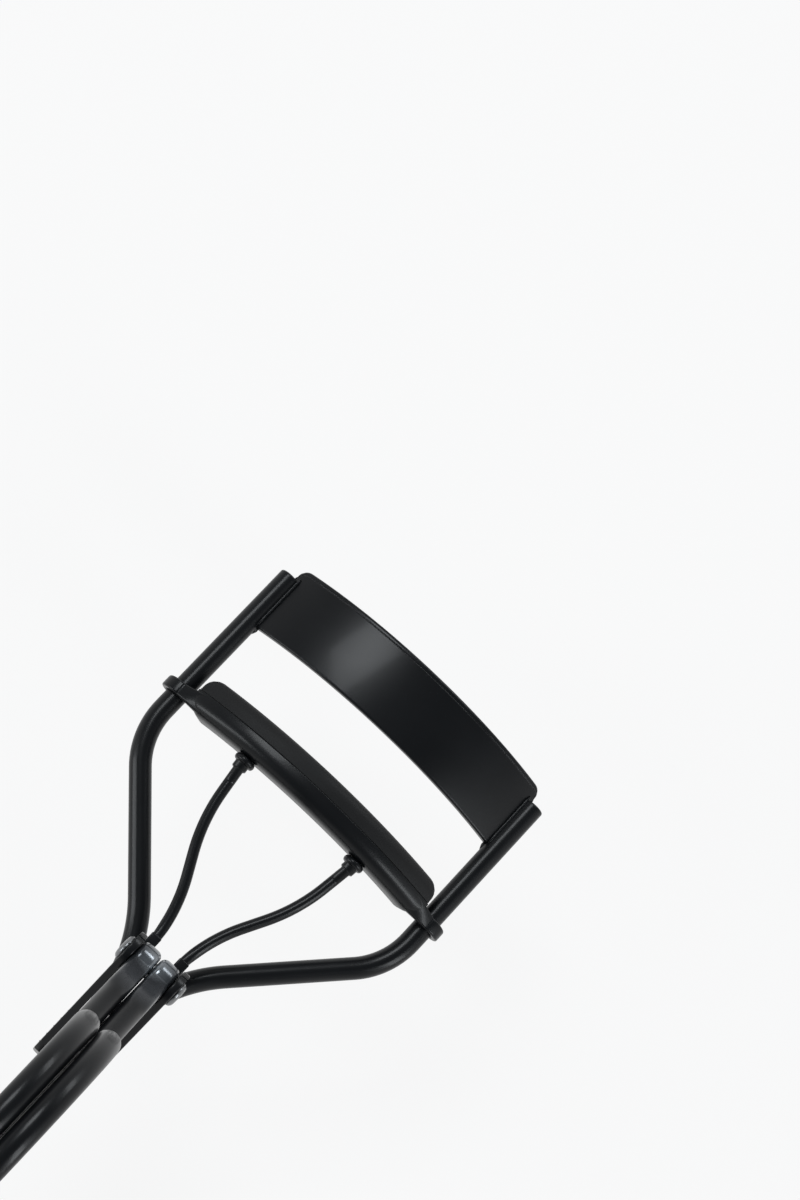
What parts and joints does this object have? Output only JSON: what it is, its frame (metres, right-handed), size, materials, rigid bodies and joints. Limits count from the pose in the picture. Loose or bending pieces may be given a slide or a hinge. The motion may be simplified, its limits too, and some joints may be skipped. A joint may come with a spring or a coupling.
{
  "type": "eyelash curler",
  "caption": "Wire-frame eyelash curler: looped handles turn a crank that slides a padded bar up the side rods to a curved plate.",
  "frame": {"origin": "middle of the hinge bracket's flat back face", "axes": "+X along the hinge pin to the user's right, +Y along the tool from the handles to the jaws, +Z out of the tool's front; the tool lies on its back"},
  "size_m": [0.0394, 0.1064, 0.0946],
  "materials": {
    "black_lacquer": "satin-gloss black lacquer over plated steel",
    "pin_steel": "dark plated steel, worn on the heads",
    "black_rubber": "soft matt black rubber"
  },
  "bodies": {
    "frame": {"left_frame_wire": "black_lacquer", "right_frame_wire": "black_lacquer", "upper_plate": "black_lacquer", "hinge_bracket": "black_lacquer", "hinge_pin": "pin_steel"},
    "front_handle": {"left_grip_wire": "black_lacquer", "right_grip_wire": "black_lacquer", "crank_pin": "pin_steel"},
    "lash_bar": {"moving_bar": "black_lacquer", "rubber_pad": "black_rubber"},
    "push_rods": {"left_push_rod": "black_lacquer", "right_push_rod": "black_lacquer"}
  },
  "joints": [
    {"name": "handle_hinge", "type": "hinge", "parent": "frame", "child": "front_handle", "pos_m": [0, 0.0096, 0.01337], "axis": [1, 0, 0], "range_deg": [0, 51]},
    {"name": "bar_slide", "type": "slide", "parent": "frame", "child": "lash_bar", "axis": [0, 1, 0], "range_m": [0, 0.00704]},
    {"name": "push_rod_swing", "type": "hinge", "parent": "lash_bar", "child": "push_rods", "pos_m": [0, 0.03213, 0.0067], "axis": [1, 0, 0], "range_deg": [0, 1.19]}
  ],
  "couplings": [
    {"joint": "bar_slide", "follows": "handle_hinge", "m_per_rad": 0.0079075},
    {"joint": "push_rod_swing", "follows": "handle_hinge", "ratio": 0.023356}
  ]
}
